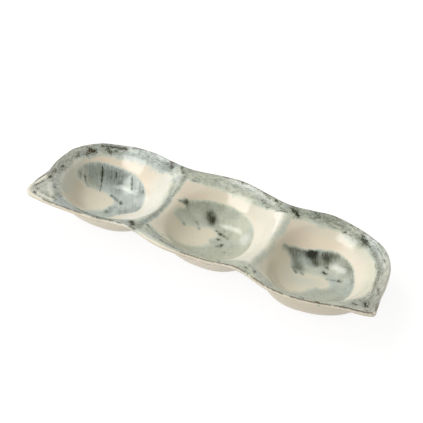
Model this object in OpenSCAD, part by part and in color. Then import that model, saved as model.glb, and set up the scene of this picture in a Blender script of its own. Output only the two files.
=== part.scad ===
// Pod-shaped relish tray: three oval wells under one scalloped rim, fired stoneware.
// Millimetres. +X runs along the tray, +Y to its back edge, +Z up.
// The origin is on the table, under the middle of the tray.

/* [Tray] */
// Length of the tray from tip to tip
tray_length = 331; // [316:1:350]
// Width of the tray across its lobes
tray_width = 109; // [103:1:118]
// Height of the rim above the table
tray_height = 38; // [35:1:44]

/* [Wells] */
// Distance from one well's middle to the next
well_pitch = 102; // [98:1:106]
// How far the middle well stands to the right of the tray's middle
well_shift = 2.5; // [0:0.5:5]
// How far the left well's deepest point is set to the left in its lobe
left_well_set = 5; // [0:0.5:8]
// How far the right well's deepest point is set to the left in its lobe
right_well_set = 8; // [0:0.5:10]
// How far the right well's deepest point is set to the front in its lobe
right_well_front = 4; // [0:0.5:6]
// How far the right well is turned in plan, its outer end to the back, in degrees
right_well_turn = 8; // [0:1:10]
// Width of the rim at either end, from a well's edge to the tip
end_rim = 13; // [10:0.5:16]
// Width of the rim along either side, at the widest lobe
side_rim = 9.5; // [8:0.5:12]
// Thickness of the clay under a well
floor_thickness = 5; // [4:0.5:7]
// Thickness of the clay round a well
wall_thickness = 4.5; // [4:0.5:7]

/* [Rim] */
// Drop of the rim from its lip to a well's edge
flange_drop = 4; // [2:0.5:6]
// Width over which the rim turns down towards a well
flange_width = 10; // [8:0.5:13]
// Thickness of the rim at its lip
lip_thickness = 4; // [3:0.5:6]
// Rounding of the lip, above and below
lip_radius = 1.2; // [0.8:0.1:2.4]
// Softness of the bend from the rim into a well
bend_radius = 3; // [1:0.5:5]

/* [Feet] */
// Outside diameter of a foot ring
foot_diameter = 36; // [28:1:42]
// Width of the ring that touches the table
foot_width = 4; // [3:0.5:6]
// Height of a foot ring
foot_height = 2; // [1:0.5:4]
// Flat clay left outside a foot ring
seat_margin = 2; // [1:0.5:4]

/* [Hidden] */

// Place of each well in the row, left to right
left_index = 0;
middle_index = 1;
right_index = 2;
well_indexes = [left_index, middle_index, right_index];

half_length = tray_length / 2;
half_width = tray_width / 2;
well_depth = tray_height - foot_height - floor_thickness;
side_reach = half_width - side_rim;
// Shortest way from a well's deepest point to its edge
least_reach = side_reach - right_well_front;

// Exponent of the wells' plan: 2 is an ellipse, more is squarer
plan_power = 2.3;
// Exponent of a well's section: more is a flatter floor and a steeper wall
inner_power = 3.4;
// The same for the outside of each bowl, left to right, from its flat seat outwards
outer_powers = [2.1, 2, 2.9];
// How gently the rim levels out towards its lip, and how it runs on under a well's wall
flange_power = 1.5;
run_on_power = 6;
// Exponent that blends neighbouring wells into a rounded crest
crest_power = 3;
// Where a bowl meets the rim and the dividers, as a share of the well's reach
bowl_edge_share = 0.93;
// Reach of a bowl's outside, its flat seat and the rim's slope, as shares of the well's reach
outer_share = 1 + wall_thickness / side_reach;
seat_share = (foot_diameter / 2 + seat_margin) / least_reach;
flange_share = 1 + flange_width / side_reach;

// Points round a bowl, points of these that a divider takes on each side of its middle,
// and steps across a divider
loop_steps = 60;
divider_steps = 6;
crest_steps = 4;
loop_angle = 360 / loop_steps;
divider_angle = divider_steps * loop_angle;
// Rings of a bowl's surface, as shares of the way from its middle, or its seat, to its edge
ring_shares = [0.26, 0.45, 0.6, 0.73, 0.86, 1];
// Points across the rim, as shares of the way from a bowl's edge to the lip
rim_shares = [0, 0.3, 0.6, 0.85];
// Steps round the lip's quarter turns
lip_steps = 3;
// Facets of a turned ring
turned_facets = 96;

// Runs of the rim's inner edge, counterclockwise from the right well's front.
// A whole well number follows that bowl from an angle on, a half one crosses a divider's end.
end_span = loop_steps - 2 * divider_steps;
side_span = loop_steps / 2 - 2 * divider_steps;
run_well_index = 0;
run_angle_index = 1;
run_steps_index = 2;
runs = [
    [right_index, divider_angle - 180, end_span],
    [(middle_index + right_index) / 2, 90, crest_steps],
    [middle_index, divider_angle, side_span],
    [(left_index + middle_index) / 2, 90, crest_steps],
    [left_index, divider_angle, end_span],
    [(left_index + middle_index) / 2, 270, crest_steps],
    [middle_index, 180 + divider_angle, side_span],
    [(middle_index + right_index) / 2, 270, crest_steps]];

// Outline of the lip for each run: along the tray from its lobe's middle, as a share of the
// lobe's reach to that side, and across, as a share of the half width
outline_shares = [
    [[-0.46, -0.97], [0.12, -0.93], [0.58, -0.79], [0.93, -0.715], [0.996, -0.67], [0.99, -0.55],
        [0.96, -0.33], [0.94, -0.06], [0.86, 0.34], [0.67, 0.66], [0.33, 0.865], [-0.25, 0.97]],
    [[-0.03, 0.855]],
    [[-0.05, 1]],
    [[-0.08, 0.855]],
    [[0.14, 0.94], [-0.28, 0.9], [-0.69, 0.7], [-0.925, 0.35], [-0.985, -0.06], [-0.985, -0.4],
        [-0.995, -0.7], [-0.99, -0.87], [-0.93, -0.955], [-0.8, -0.98], [-0.45, -0.995], [-0.01, -0.945]],
    [[-0.25, -0.845]],
    [[-0.46, -0.97], [0.19, -0.9]],
    [[-0.15, -0.835]]];

// Wells

// Middle of a lobe, or of a crest where the number is a half
function lobe_x(lobe) = well_shift + (lobe - middle_index) * well_pitch;

// Distance from a lobe's middle to the tray's tip, or to the next crest, on the given side
function lobe_reach(lobe, side) =
    lobe == left_index && side < 0 ? half_length + lobe_x(left_index) :
    lobe == right_index && side > 0 ? half_length - lobe_x(right_index) :
    well_pitch / 2;

// Deepest point of a well, and the distances from there to the well's edge on the given side
function well_set(well) =
    well == left_index ? [left_well_set, 0] :
    well == right_index ? [right_well_set, right_well_front] : [0, 0];
function well_middle(well) = [lobe_x(well), 0] - well_set(well);
function well_turn(well) = well == right_index ? right_well_turn : 0;
function well_reach_x(well, side) =
    let (rim_width = well - middle_index == sign(side) ? end_rim : 0)
    lobe_reach(well, side) + sign(side) * well_set(well).x - rim_width;
function well_reach_y(well, side) = side_reach + sign(side) * well_set(well).y;

function signed_power(value, power) = sign(value) * pow(abs(value), power);

function turned(place, angle) =
    [place.x * cos(angle) - place.y * sin(angle), place.x * sin(angle) + place.y * cos(angle)];

// A place as seen from a well's middle, along and across the well
function from_well(well, place) = turned(place - well_middle(well), -well_turn(well));

// The same as a share: 0 at a well's middle, 1 at its edge
function well_share(well, place) =
    let (from = from_well(well, place))
    let (along = abs(from.x) / well_reach_x(well, from.x))
    let (across = abs(from.y) / well_reach_y(well, from.y))
    pow(pow(along, plan_power) + pow(across, plan_power), 1 / plan_power);

// The place at an angle round a well and at a share of its reach
function well_place(well, angle, share) =
    let (reach = [
        well_reach_x(well, cos(angle)) * signed_power(cos(angle), 2 / plan_power),
        well_reach_y(well, sin(angle)) * signed_power(sin(angle), 2 / plan_power)])
    well_middle(well) + turned(share * reach, well_turn(well));

// Angle of a place round a well, on the same scale
function well_angle(well, place) =
    let (from = from_well(well, place))
    atan2(signed_power(from.y / well_reach_y(well, from.y), plan_power / 2),
        signed_power(from.x / well_reach_x(well, from.x), plan_power / 2));

// Heights of the clay

function soft_max(a, b, radius) = (a + b + sqrt((a - b) * (a - b) + radius * radius)) / 2;

function flange_fall(share) =
    let (slope = flange_power / (flange_share - 1))
    flange_drop * (share < 1
        ? 1 + slope * (1 - pow(share, run_on_power)) / run_on_power
        : pow(max(0, flange_share - share) / (flange_share - 1), flange_power));

function inner_fall(share) =
    soft_max(well_depth * (1 - pow(share, inner_power)), flange_fall(share), bend_radius);

function outer_fall(well, share) =
    let (depth = well_depth + floor_thickness - lip_thickness)
    let (turn = max(0, share - seat_share) / (outer_share - seat_share))
    let (bowl = depth * (1 - pow(turn, outer_powers[well])))
    share <= seat_share ? depth : soft_max(bowl, flange_fall(share), bend_radius * turn);

// Falls of the three wells blended: the deepest rules, and equal ones make a rounded crest
function blended(falls) =
    pow([for (fall = falls) pow(fall, crest_power)] * [for (fall = falls) 1], 1 / crest_power);

function top_height(place) =
    tray_height - blended([for (well = well_indexes) inner_fall(well_share(well, place))]);

function under_height(place) =
    max(foot_height, tray_height - lip_thickness
        - blended([for (well = well_indexes) outer_fall(well, well_share(well, place))]));

function on_top(place) = [place.x, place.y, top_height(place)];
function on_under(place) = [place.x, place.y, under_height(place)];

// Outline of the lip

function mix(a, b, share) = a * (1 - share) + b * share;

function outline_place(run, shares) =
    let (lobe = run[run_well_index])
    [lobe_x(lobe) + shares.x * lobe_reach(lobe, shares.x), shares.y * half_width];

// Steps along a run to the point of its inner edge that faces a place on the outline
function run_station(run, place) =
    run[run_well_index] != floor(run[run_well_index]) ? crest_steps / 2 :
    let (turn = well_angle(run[run_well_index], place) - run[run_angle_index])
    (turn - 360 * floor(turn / 360)) / loop_angle;

function run_start(index) = index == 0 ? 0 : run_start(index - 1) + runs[index - 1][run_steps_index];

station_count = run_start(len(runs));
outline_points = [for (r = [0 : len(runs) - 1]) for (s = outline_shares[r]) outline_place(runs[r], s)];
outline_stations = [for (r = [0 : len(runs) - 1]) for (s = outline_shares[r])
    run_start(r) + run_station(runs[r], outline_place(runs[r], s))];
point_count = len(outline_points);
// From a station on the inner edge to a place in the list of outline points, one turn and a bit more
facing_table = [for (i = [-1 : point_count])
    let (turns = floor(i / point_count))
    [outline_stations[i - turns * point_count] + turns * station_count, i]];

function outline_point(i) = outline_points[i - point_count * floor(i / point_count)];

// A smooth closed curve through the outline points, in knots spaced by the root of the distance
function knot_step(a, b) = sqrt(norm(b - a));
function between(a, b, from, to, t) = mix(a, b, (t - from) / (to - from));
function curve(p0, p1, p2, p3, share) =
    let (k1 = knot_step(p0, p1), k2 = k1 + knot_step(p1, p2), k3 = k2 + knot_step(p2, p3))
    let (t = mix(k1, k2, share))
    let (a1 = between(p0, p1, 0, k1, t), a2 = between(p1, p2, k1, k2, t), a3 = between(p2, p3, k2, k3, t))
    let (b1 = between(a1, a2, 0, k2, t), b2 = between(a2, a3, k1, k3, t))
    between(b1, b2, k1, k2, t);

function lip_place(station) =
    let (facing = lookup(station, facing_table))
    let (i = floor(facing))
    curve(outline_point(i - 1), outline_point(i), outline_point(i + 1), outline_point(i + 2), facing - i);

// Edges that the pieces share

function edge_place(well, angle) = well_place(well, angle, bowl_edge_share);

// A point on the line across a divider from its left bowl to its right one
function divider_place(left_well, angle, share) =
    mix(edge_place(left_well, angle), edge_place(left_well + 1, 180 - angle), share);

// Inner edge of the rim, a step along a run
function run_place(run, step) =
    let (well = run[run_well_index])
    let (front = run[run_angle_index] > 180)
    well == floor(well) ? edge_place(well, run[run_angle_index] + step * loop_angle) :
    front ? divider_place(floor(well), -divider_angle, step / crest_steps) :
    divider_place(floor(well), divider_angle, 1 - step / crest_steps);

// Solids

// Triangles of the strip between two rows of points, each given by its first point's number
function strip(first, second, count, closed) =
    [for (i = [0 : closed ? count - 1 : count - 2])
        let (next = (i + 1) % count)
        each [[first + i, first + next, second + next], [first + i, second + next, second + i]]];

function fan(middle, first, count) =
    [for (i = [0 : count - 1]) [middle, first + i, first + (i + 1) % count]];

function flipped(faces) = [for (face = faces) [face[2], face[1], face[0]]];

function shifted(faces, by) = [for (face = faces) [for (point = face) point + by]];

// A bowl: one skin of rings inside, one outside, and an upright edge that joins them
module bowl(well) {
    rings = len(ring_shares);
    skin = rings * loop_steps + 1;
    inside = [for (s = ring_shares) for (k = [0 : loop_steps - 1])
        on_top(well_place(well, k * loop_angle, s * bowl_edge_share))];
    outside = [for (s = ring_shares) for (k = [0 : loop_steps - 1])
        let (share = mix(seat_share, bowl_edge_share, (s - ring_shares[0]) / (1 - ring_shares[0])))
        on_under(well_place(well, k * loop_angle, share))];
    middle = well_middle(well);
    skin_faces = concat(
        fan(rings * loop_steps, 0, loop_steps),
        [for (r = [0 : rings - 2]) each strip((r + 1) * loop_steps, r * loop_steps, loop_steps, true)]);
    edge = (rings - 1) * loop_steps;
    polyhedron(
        concat(inside, [on_top(middle)], outside, [on_under(middle)]),
        concat(flipped(skin_faces), shifted(skin_faces, skin), strip(edge, skin + edge, loop_steps, true)));
}

// A divider: a saddle between two bowls, as wide as the gap between their edges
module divider(left_well) {
    rows = 2 * divider_steps + 1;
    columns = crest_steps + 1;
    places = [for (r = [0 : rows - 1]) for (c = [0 : columns - 1])
        divider_place(left_well, (r - divider_steps) * loop_angle, c / crest_steps)];
    skin = rows * columns;
    skin_faces = [for (r = [0 : rows - 2]) each strip(r * columns, (r + 1) * columns, columns, false)];
    border = concat(
        [for (c = [0 : columns - 2]) c],
        [for (r = [0 : rows - 2]) r * columns + columns - 1],
        [for (c = [columns - 1 : -1 : 1]) (rows - 1) * columns + c],
        [for (r = [rows - 1 : -1 : 1]) r * columns]);
    edge_faces = [for (i = [0 : len(border) - 1])
        let (a = border[i], b = border[(i + 1) % len(border)])
        each [[a, a + skin, b + skin], [a, b + skin, b]]];
    polyhedron(
        concat([for (p = places) on_top(p)], [for (p = places) on_under(p)]),
        concat(flipped(skin_faces), shifted(skin_faces, skin), flipped(edge_faces)));
}

// A section of the rim at a station: out over the top, round the lip and back underneath
function rim_section(inner, lip) =
    let (radius = min(lip_radius, lip_thickness / 2))
    let (outward = (lip - inner) / norm(lip - inner))
    let (turn = lip - outward * radius)
    let (flat_places = [for (s = rim_shares) mix(inner, turn, s)])
    let (lip_angles = [for (i = [0 : lip_steps]) i * 90 / lip_steps])
    let (lip_rows = [for (a = lip_angles) [turn + outward * radius * sin(a), radius * (1 - cos(a))]])
    concat(
        [for (p = flat_places) on_top(p)],
        [for (row = lip_rows) on_top(row[0]) - [0, 0, row[1]]],
        [for (i = [lip_steps : -1 : 0]) on_under(lip_rows[i][0]) + [0, 0, lip_rows[i][1]]],
        [for (i = [len(flat_places) - 1 : -1 : 0]) on_under(flat_places[i])]);

// The rim: sections set side by side round the tray, each from the wells' edge out to the lip
module rim_body() {
    inner_places = [for (run = runs) for (step = [0 : run[run_steps_index] - 1]) run_place(run, step)];
    sections = [for (s = [0 : station_count - 1]) rim_section(inner_places[s], lip_place(s))];
    size = len(sections[0]);
    polyhedron(
        [for (section = sections) each section],
        [for (s = [0 : station_count - 1])
            each strip(((s + 1) % station_count) * size, s * size, size, true)]);
}

// A foot ring, turned under the middle of a bowl
module foot(well) {
    outer = foot_diameter / 2;
    translate(well_middle(well))
        rotate_extrude($fn = turned_facets)
            translate([outer - foot_width, 0])
                square([foot_width, foot_height]);
}

// Pieces

module rim() { color("#9ea8a2") rim_body(); }
module left_bowl() { color("#d8cfbb") bowl(left_index); }
module middle_bowl() { color("#d8cfbb") bowl(middle_index); }
module right_bowl() { color("#d8cfbb") bowl(right_index); }
module left_divider() { color("#c3c6bb") divider(left_index); }
module right_divider() { color("#c3c6bb") divider(middle_index); }
module left_foot() { color("#c9ae93") foot(left_index); }
module middle_foot() { color("#c9ae93") foot(middle_index); }
module right_foot() { color("#c9ae93") foot(right_index); }

rim();
left_bowl();
middle_bowl();
right_bowl();
left_divider();
right_divider();
left_foot();
middle_foot();
right_foot();
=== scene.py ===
"""Looks of a glazed stoneware relish tray: three oval wells in a row under one scalloped rim.

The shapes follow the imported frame, in millimetres until a mesh is written. +X runs along the
tray, +Y to its back edge and +Z up. The glaze is a cream base under a grey brushed wash, whose
thickness drives its colour.
"""

import collections
import functools
import math

import bpy
import numpy as np
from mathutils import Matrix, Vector


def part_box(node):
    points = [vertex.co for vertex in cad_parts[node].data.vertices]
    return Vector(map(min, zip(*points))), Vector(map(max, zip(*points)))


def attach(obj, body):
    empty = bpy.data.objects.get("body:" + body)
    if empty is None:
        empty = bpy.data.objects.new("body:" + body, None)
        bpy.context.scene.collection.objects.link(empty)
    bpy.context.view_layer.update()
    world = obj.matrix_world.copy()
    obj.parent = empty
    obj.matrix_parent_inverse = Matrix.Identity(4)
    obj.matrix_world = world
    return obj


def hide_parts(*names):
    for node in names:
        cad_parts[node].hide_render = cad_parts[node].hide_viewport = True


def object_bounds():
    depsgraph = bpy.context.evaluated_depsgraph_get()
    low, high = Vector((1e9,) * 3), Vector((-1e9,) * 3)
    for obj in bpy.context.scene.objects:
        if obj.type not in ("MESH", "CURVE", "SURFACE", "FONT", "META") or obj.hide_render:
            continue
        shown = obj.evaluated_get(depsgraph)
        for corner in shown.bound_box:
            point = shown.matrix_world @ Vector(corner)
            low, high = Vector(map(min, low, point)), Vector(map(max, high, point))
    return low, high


MM = 0.001

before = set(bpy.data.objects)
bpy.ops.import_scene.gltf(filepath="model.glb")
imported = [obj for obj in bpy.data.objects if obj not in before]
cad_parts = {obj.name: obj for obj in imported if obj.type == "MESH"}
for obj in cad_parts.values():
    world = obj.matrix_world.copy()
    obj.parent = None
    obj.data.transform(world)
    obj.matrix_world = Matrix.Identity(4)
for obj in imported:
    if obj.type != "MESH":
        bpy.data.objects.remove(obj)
cad_low, cad_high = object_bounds()


# Sizes read from the frame

LEFT, MIDDLE, RIGHT = 0, 1, 2
WELL_NUMBERS = (LEFT, MIDDLE, RIGHT)
WELL_NAMES = ("left", "middle", "right")
# Where a bowl meets the rim and the dividers, as a share of the well's reach
BOWL_EDGE_SHARE = 0.93

# The right well is turned in plan, in degrees, so its reach along and across is written here
RIGHT_TURN = 8
RIGHT_LOW = (43, 41)
RIGHT_HIGH = (56, 49)

# Width of the shoulder on the left side of each well, as a share of the well's reach
SHOULDER_SHARES = (0, 0.14, 0.14)

Well = collections.namedtuple("Well", "middle low high turn shoulder")


def box_mm(node):
    """A node's lowest and highest corner in millimetres."""
    low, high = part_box(node)
    return np.array(low) / MM, np.array(high) / MM


def read_well(number):
    """A well's deepest point, above its foot ring, and its reach from there each way."""
    name = WELL_NAMES[number]
    middle = sum(box_mm(name + "_foot"))[:2] / 2
    shoulder = SHOULDER_SHARES[number]
    if number == RIGHT:
        return Well(middle, RIGHT_LOW, RIGHT_HIGH, RIGHT_TURN, shoulder)
    low, high = box_mm(name + "_bowl")
    reach_low = (middle - low[:2]) / BOWL_EDGE_SHARE
    reach_high = (high[:2] - middle) / BOWL_EDGE_SHARE
    return Well(middle, reach_low, reach_high, 0, shoulder)


WELLS = [read_well(number) for number in WELL_NUMBERS]
half_length = (cad_high.x - cad_low.x) / 2 / MM
half_width = (cad_high.y - cad_low.y) / 2 / MM
tray_height = cad_high.z / MM
foot_low, foot_high = box_mm("middle_foot")
foot_height = foot_high[2]
foot_radius = (foot_high[0] - foot_low[0]) / 2
lobe_pitch = WELLS[MIDDLE].low[0] + WELLS[MIDDLE].high[0]
side_reach = WELLS[MIDDLE].high[1]
least_reach = min(well.low[1] for well in WELLS)


# Sizes of the clay, in millimetres

FLOOR_THICKNESS = 5
WALL_THICKNESS = 4.5
FLANGE_DROP = 4
FLANGE_WIDTH = 10
LIP_THICKNESS = 4
LIP_RADIUS = 1.2
BEND_RADIUS = 3
# How much rounder the bend is at a shoulder, for each whole reach of its width
SHOULDER_RADIUS = 60
FOOT_WIDTH = 4
FOOT_ROUNDING = 0.7
SEAT_MARGIN = 2

# Exponents of the forms: plan, section inside, rim slope and its run under the wall, crest, shoulder
PLAN_POWER = 2.3
INNER_POWER = 3.4
FLANGE_POWER = 1.5
RUN_ON_POWER = 6
CREST_POWER = 1.7
SHOULDER_POWER = 3
# The same for the outside of each bowl
OUTER_POWERS = (2.1, 2, 2.9)

well_depth = tray_height - foot_height - FLOOR_THICKNESS
outer_share = 1 + WALL_THICKNESS / side_reach
seat_share = (foot_radius + SEAT_MARGIN) / least_reach
flange_share = 1 + FLANGE_WIDTH / side_reach


# Steps of the meshes

LOOP_STEPS = 360
LOOP_ANGLE = 360 / LOOP_STEPS
DIVIDER_STEPS = 36
DIVIDER_ANGLE = DIVIDER_STEPS * LOOP_ANGLE
CREST_STEPS = 24
INNER_RINGS = 56
OUTER_RINGS = 26
RIM_ROWS = 22
UNDER_ROWS = 12
LIP_STEPS = 6
FOOT_STEPS = 180


# Outline of the lip

# Runs of the rim's inner edge, counterclockwise from the right well's front: well, first angle and
# steps. A whole well number follows that bowl, a half one crosses a divider's end.
END_SPAN = LOOP_STEPS - 2 * DIVIDER_STEPS
SIDE_SPAN = LOOP_STEPS // 2 - 2 * DIVIDER_STEPS
RUNS = (
    (RIGHT, DIVIDER_ANGLE - 180, END_SPAN),
    (1.5, 90, CREST_STEPS),
    (MIDDLE, DIVIDER_ANGLE, SIDE_SPAN),
    (0.5, 90, CREST_STEPS),
    (LEFT, DIVIDER_ANGLE, END_SPAN),
    (0.5, 270, CREST_STEPS),
    (MIDDLE, 180 + DIVIDER_ANGLE, SIDE_SPAN),
    (1.5, 270, CREST_STEPS),
)

# Points of the lip for each run: along the tray from the lobe's middle, as a share of the lobe's
# reach to that side, and across, as a share of the half width
OUTLINE_SHARES = (
    ((-0.46, -0.97), (0.12, -0.93), (0.58, -0.79), (0.93, -0.715), (0.996, -0.67), (0.99, -0.55),
     (0.96, -0.33), (0.94, -0.06), (0.86, 0.34), (0.67, 0.66), (0.33, 0.865), (-0.25, 0.97)),
    ((-0.03, 0.855),),
    ((-0.05, 1),),
    ((-0.08, 0.855),),
    ((0.14, 0.94), (-0.28, 0.9), (-0.69, 0.7), (-0.925, 0.35), (-0.98, -0.05), (-0.958, -0.37),
     (-0.995, -0.68), (-0.99, -0.87), (-0.93, -0.955), (-0.8, -0.98), (-0.45, -0.995), (-0.01, -0.945)),
    ((-0.25, -0.845),),
    ((-0.46, -0.97), (0.19, -0.9)),
    ((-0.15, -0.835),),
)


# Plan of the wells

def signed_power(value, power):
    return np.sign(value) * np.abs(value) ** power


def turned(x, y, degrees):
    cos, sin = math.cos(math.radians(degrees)), math.sin(math.radians(degrees))
    return x * cos - y * sin, x * sin + y * cos


def well_offset(well, places):
    """Places from a well's middle, each way as a share of the reach to that side."""
    from_x, from_y = turned(*np.moveaxis(places - well.middle, -1, 0), -well.turn)
    along = from_x / np.where(from_x < 0, well.low[0], well.high[0])
    across = from_y / np.where(from_y < 0, well.low[1], well.high[1])
    return along, across


def well_share(well, places):
    """0 at a well's middle, 1 at its edge."""
    along, across = well_offset(well, places)
    return (np.abs(along) ** PLAN_POWER + np.abs(across) ** PLAN_POWER) ** (1 / PLAN_POWER)


def well_angle(well, places):
    """Angle of places round a well in degrees, on the same scale as well_place."""
    along, across = well_offset(well, places)
    half = PLAN_POWER / 2
    return np.degrees(np.arctan2(signed_power(across, half), signed_power(along, half)))


def well_place(well, angle, share):
    """Plan places at an angle round a well and at a share of its reach."""
    cos, sin = np.cos(np.radians(angle)), np.sin(np.radians(angle))
    along = share * np.where(cos < 0, well.low[0], well.high[0]) * signed_power(cos, 2 / PLAN_POWER)
    across = share * np.where(sin < 0, well.low[1], well.high[1]) * signed_power(sin, 2 / PLAN_POWER)
    return well.middle + np.stack(turned(along, across, well.turn), -1)


# Heights of the clay

def soft_max(a, b, radius):
    return (a + b + np.sqrt((a - b) ** 2 + radius * radius)) / 2


def flange_fall(share):
    slope = FLANGE_POWER / (flange_share - 1)
    inside = 1 + slope * (1 - np.minimum(share, 1) ** RUN_ON_POWER) / RUN_ON_POWER
    outside = (np.maximum(0, flange_share - share) / (flange_share - 1)) ** FLANGE_POWER
    return FLANGE_DROP * np.where(share < 1, inside, outside)


def inner_fall(well, places):
    """Fall of the top towards a well, whose left wall starts further in, past a rounded shoulder."""
    share = well_share(well, places)
    shoulder = well.shoulder * np.clip(-well_offset(well, places)[0], 0, 1) ** SHOULDER_POWER
    wall = well_depth * (1 - (share * (1 + shoulder)) ** INNER_POWER)
    return soft_max(wall, flange_fall(share), BEND_RADIUS + SHOULDER_RADIUS * shoulder)


def outer_fall(share, power):
    depth = well_depth + FLOOR_THICKNESS - LIP_THICKNESS
    turn = np.maximum(0, share - seat_share) / (outer_share - seat_share)
    bowl = depth * (1 - turn ** power)
    return np.where(share <= seat_share, depth, soft_max(bowl, flange_fall(share), BEND_RADIUS * turn))


def blended(falls):
    """Falls of the three wells together: the deepest rules, and equal ones make a rounded crest."""
    return sum(np.maximum(fall, 0) ** CREST_POWER for fall in falls) ** (1 / CREST_POWER)


# Hand-made unevenness: directions in degrees, wavelengths, depths and phases of shallow waves
WAVES = ((12, 61, 0.16, 0.3), (74, 43, 0.13, 1.9), (131, 37, 0.12, 4.1), (163, 27, 0.07, 2.6),
         (48, 21, 0.05, 5.2), (101, 17, 0.04, 0.8))


def unevenness(places):
    """Depth of the hand-made waves, never above the true form."""
    depth = 0
    for direction, length, size, phase in WAVES:
        way = places @ (math.cos(math.radians(direction)), math.sin(math.radians(direction)))
        depth = depth + size * (1 + np.sin(2 * math.pi * way / length + phase)) / 2
    return depth


def raised(places, z):
    return np.concatenate([places, z[..., None]], -1)


def on_top(places):
    falls = [inner_fall(well, places) for well in WELLS]
    return raised(places, tray_height - blended(falls) - unevenness(places))


def on_under(places):
    falls = [outer_fall(well_share(well, places), power) for well, power in zip(WELLS, OUTER_POWERS)]
    z = tray_height - LIP_THICKNESS - blended(falls) - unevenness(places)
    return raised(places, np.maximum(foot_height, z))


# Curves in plan

def mix(a, b, share):
    return a * (1 - share) + b * share


def root_gap(a, b):
    return np.sqrt(np.linalg.norm(b - a, axis=-1, keepdims=True))


def curve(p0, p1, p2, p3, share):
    """Places on a smooth curve from p1 to p2, in knots spaced by the root of the distance."""
    k1 = root_gap(p0, p1)
    k2 = k1 + root_gap(p1, p2)
    k3 = k2 + root_gap(p2, p3)
    t = mix(k1, k2, share[..., None])
    a1 = mix(p0, p1, t / k1)
    a2 = mix(p1, p2, (t - k1) / (k2 - k1))
    a3 = mix(p2, p3, (t - k2) / (k3 - k2))
    b1 = mix(a1, a2, t / k2)
    b2 = mix(a2, a3, (t - k1) / (k3 - k1))
    return mix(b1, b2, (t - k1) / (k2 - k1))


def closed_curve(points, at):
    """Places on the smooth closed curve through points, at whole and part numbers of points."""
    points = np.asarray(points, float)
    first = np.floor(at).astype(int)
    p0, p1, p2, p3 = (points[(first + i) % len(points)] for i in (-1, 0, 1, 2))
    return curve(p0, p1, p2, p3, at - first)


def edge_place(well, angle):
    return well_place(WELLS[well], angle, BOWL_EDGE_SHARE)


def divider_place(left_well, angle, share):
    """Places on the line across a divider from its left bowl to its right one."""
    return mix(edge_place(left_well, angle), edge_place(left_well + 1, 180 - angle), share[..., None])


def run_places(well, angle, steps):
    """Places of the rim's inner edge along one run."""
    step = np.arange(steps)
    if well == int(well):
        return edge_place(well, angle + step * LOOP_ANGLE)
    if angle > 180:
        return divider_place(int(well), -DIVIDER_ANGLE, step / steps)
    return divider_place(int(well), DIVIDER_ANGLE, 1 - step / steps)


def lobe_x(lobe):
    return WELLS[MIDDLE].middle[0] + (lobe - MIDDLE) * lobe_pitch


def lobe_reach(lobe, side):
    """Distance from a lobe's middle to the tray's tip, or to the next crest, on the given side."""
    if (lobe == LEFT and side < 0) or (lobe == RIGHT and side > 0):
        return half_length - abs(lobe_x(lobe))
    return lobe_pitch / 2


def outline_knots():
    """Points of the lip, and for each the step of the inner edge that it faces."""
    points, facing = [], []
    start = 0
    for (lobe, angle, steps), shares in zip(RUNS, OUTLINE_SHARES):
        for along, across in shares:
            point = np.array([lobe_x(lobe) + along * lobe_reach(lobe, along), across * half_width])
            points.append(point)
            if lobe == int(lobe):
                turn = well_angle(WELLS[lobe], point) - angle
                facing.append(start + (turn % 360) / LOOP_ANGLE)
            else:
                facing.append(start + steps / 2)
        start += steps
    return np.array(points), np.array(facing), start


def lip_curve():
    """The lip's place for each step of the rim's inner edge."""
    points, facing, total = outline_knots()
    count = len(points)
    number = np.arange(-1, count + 1)
    station = facing[number % count] + total * (number // count)
    return closed_curve(points, np.interp(np.arange(total), station, number))


def fitted(line):
    """A line stretched to the plan box of the frame."""
    low, high = line.min(0), line.max(0)
    box_low, box_high = np.array(cad_low)[:2] / MM, np.array(cad_high)[:2] / MM
    return box_low + (line - low) / (high - low) * (box_high - box_low)


inner_line = np.concatenate([run_places(*run) for run in RUNS])
lip_line = fitted(lip_curve())


# Measures that the glaze follows

# Places measured at one time, to save memory
CHUNK = 4000


def nearest_on(line, places):
    """Distance from each place to a closed line, and how far along the line that is, in points."""
    ahead = np.roll(line, -1, 0) - line
    length2 = (ahead ** 2).sum(1)
    distance = np.empty(len(places))
    along = np.empty(len(places))
    for start in range(0, len(places), CHUNK):
        part = places[start:start + CHUNK, None, :] - line[None]
        share = np.clip((part * ahead).sum(-1) / length2, 0, 1)
        gap = ((part - share[..., None] * ahead) ** 2).sum(-1)
        best = gap.argmin(1)
        row = np.arange(len(best))
        distance[start:start + CHUNK] = np.sqrt(gap[row, best])
        along[start:start + CHUNK] = best + share[row, best]
    return distance, along


def inside(line, places):
    """True for the places that lie inside a closed line."""
    found = np.zeros(len(places), bool)
    x, y = places.T
    for (ax, ay), (bx, by) in zip(line, np.roll(line, -1, 0)):
        crosses = (ay > y) != (by > y)
        if ay != by:
            found ^= crosses & (x < ax + (y - ay) / (by - ay) * (bx - ax))
    return found


# How far outside a curve the glaze still looks at it, and the curve's steps from point to point
CURVE_MARGIN = 14
CURVE_STEPS = 8


def depth_inside(points, places):
    """How far inside the closed curve through points each place lies, negative outside."""
    line = closed_curve(points, np.arange(len(points) * CURVE_STEPS) / CURVE_STEPS)
    depth = np.full(len(places), -float(CURVE_MARGIN))
    near = (places > line.min(0) - CURVE_MARGIN) & (places < line.max(0) + CURVE_MARGIN)
    near = np.flatnonzero(near.all(1))
    distance, _ = nearest_on(line, places[near])
    depth[near] = np.where(inside(line, places[near]), distance, -distance)
    return np.maximum(depth, -CURVE_MARGIN)


# Every fourth point of the lip is enough to measure from
LIP_STRIDE = 4
lip_guide = lip_line[::LIP_STRIDE]
lip_lengths = np.linalg.norm(np.roll(lip_guide, -1, 0) - lip_guide, axis=1)
lip_length = lip_lengths.sum()
lip_run = np.concatenate([[0], np.cumsum(lip_lengths)])
# From the lip's edge to the middle of its outer face, along the rounded section
LIP_HALF_GIRTH = LIP_RADIUS * math.pi / 2 + LIP_THICKNESS / 2 - LIP_RADIUS


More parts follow.
